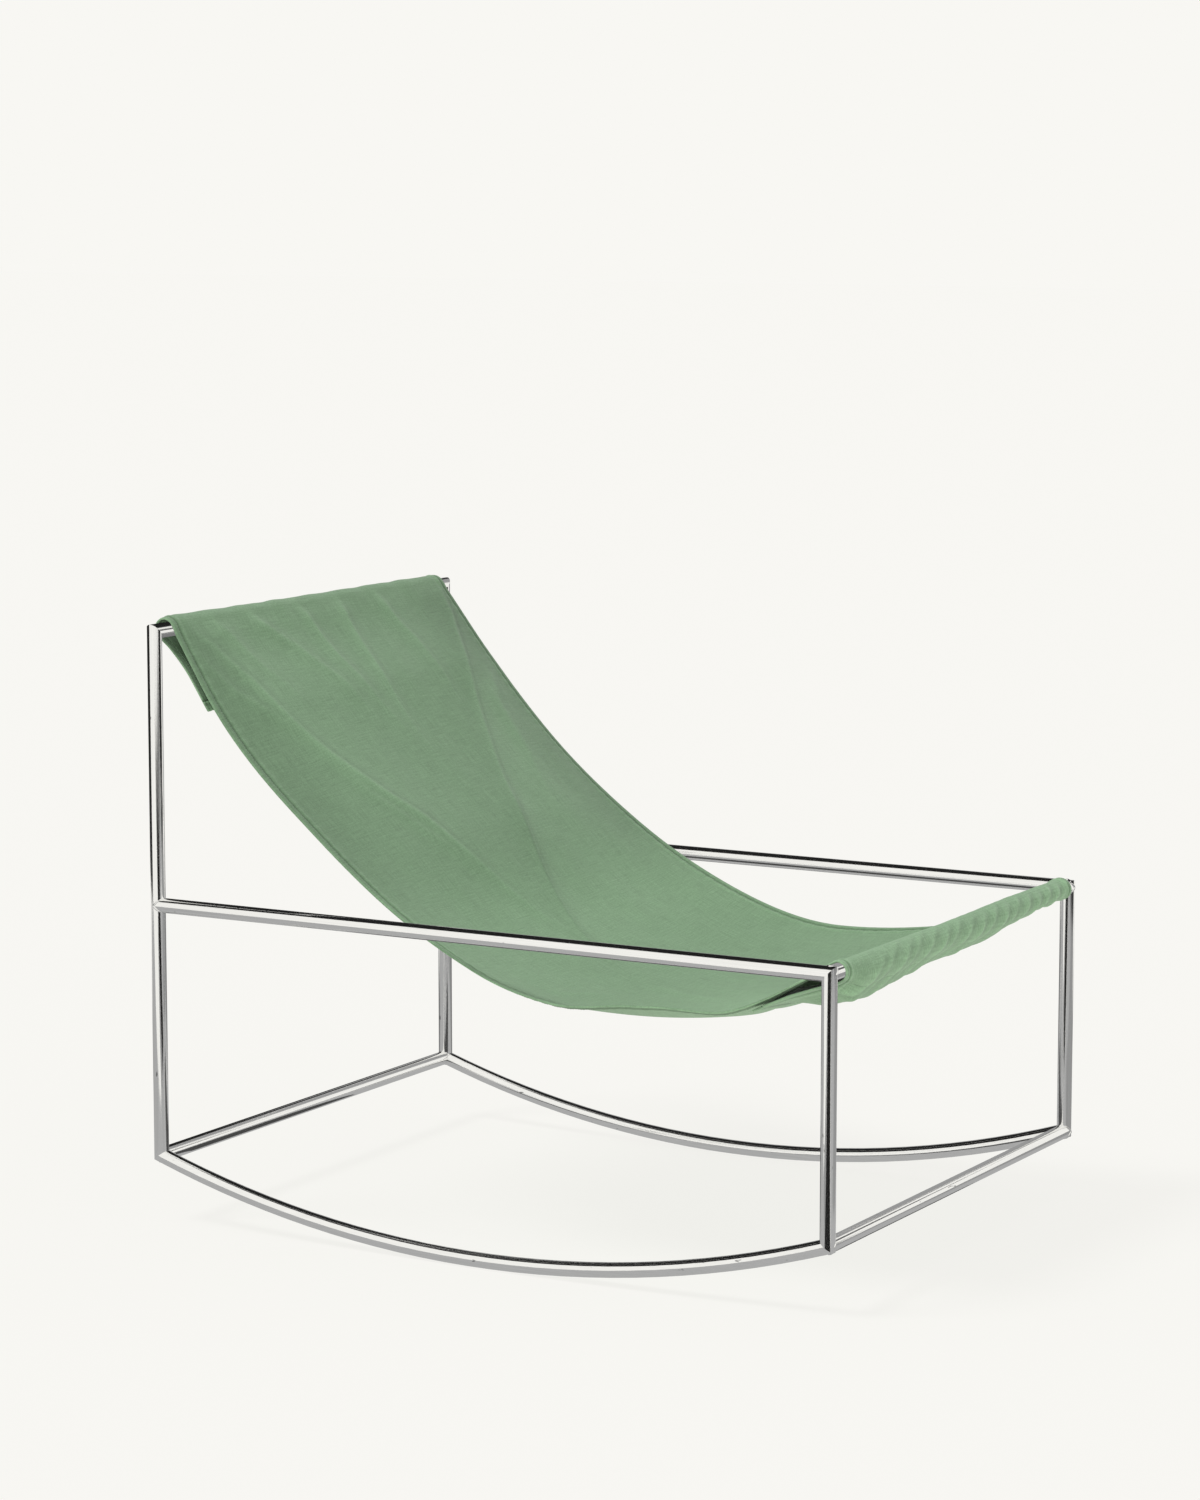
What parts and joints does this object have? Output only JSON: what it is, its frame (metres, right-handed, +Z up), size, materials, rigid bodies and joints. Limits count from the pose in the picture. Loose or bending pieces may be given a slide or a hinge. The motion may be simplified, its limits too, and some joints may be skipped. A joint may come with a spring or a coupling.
{
  "type": "rocking chair",
  "caption": "Outdoor rocking chair: a welded frame of polished round steel tube with square corners on two long curved rockers, and a green canvas sling looped over its top and front bars.",
  "frame": {"origin": "on the floor under the middle of the chair, midway along the rockers", "axes": "+X to the sitter's left, +Y towards the back, +Z up"},
  "size_m": [0.754, 1.028, 0.8154],
  "materials": {
    "steel": "polished stainless steel",
    "canvas": "plain-weave outdoor canvas",
    "tape": "woven nylon pile"
  },
  "bodies": {
    "frame": {"left_back_post": "steel", "right_back_post": "steel", "left_front_post": "steel", "right_front_post": "steel", "left_side_rail": "steel", "right_side_rail": "steel", "left_rocker": "steel", "right_rocker": "steel", "top_crossbar": "steel", "front_crossbar": "steel", "lower_rear_crossbar": "steel", "lower_front_crossbar": "steel"},
    "sling": {"sling_panel": "canvas", "left_side_hem": "canvas", "right_side_hem": "canvas", "rear_loop_tape": "tape", "front_loop_tape": "tape"},
    "rear_flap_body": {"rear_flap": "canvas", "rear_flap_hem": "canvas", "rear_hook_tape": "tape"},
    "front_flap_body": {"front_flap": "canvas", "front_flap_hem": "canvas", "front_hook_tape": "tape"}
  },
  "joints": [
    {"name": "sling_slide", "type": "slide", "parent": "frame", "child": "sling", "axis": [1, 0, 0], "range_m": [-0.011, 0.011]},
    {"name": "rear_flap_peel", "type": "hinge", "parent": "sling", "child": "rear_flap_body", "pos_m": [0, 0.51021, 0.79629], "axis": [1, 0, 0], "range_deg": [0, 90]},
    {"name": "front_flap_peel", "type": "hinge", "parent": "sling", "child": "front_flap_body", "pos_m": [0, -0.50587, 0.42463], "axis": [-1, 0, 0], "range_deg": [0, 90]}
  ]
}
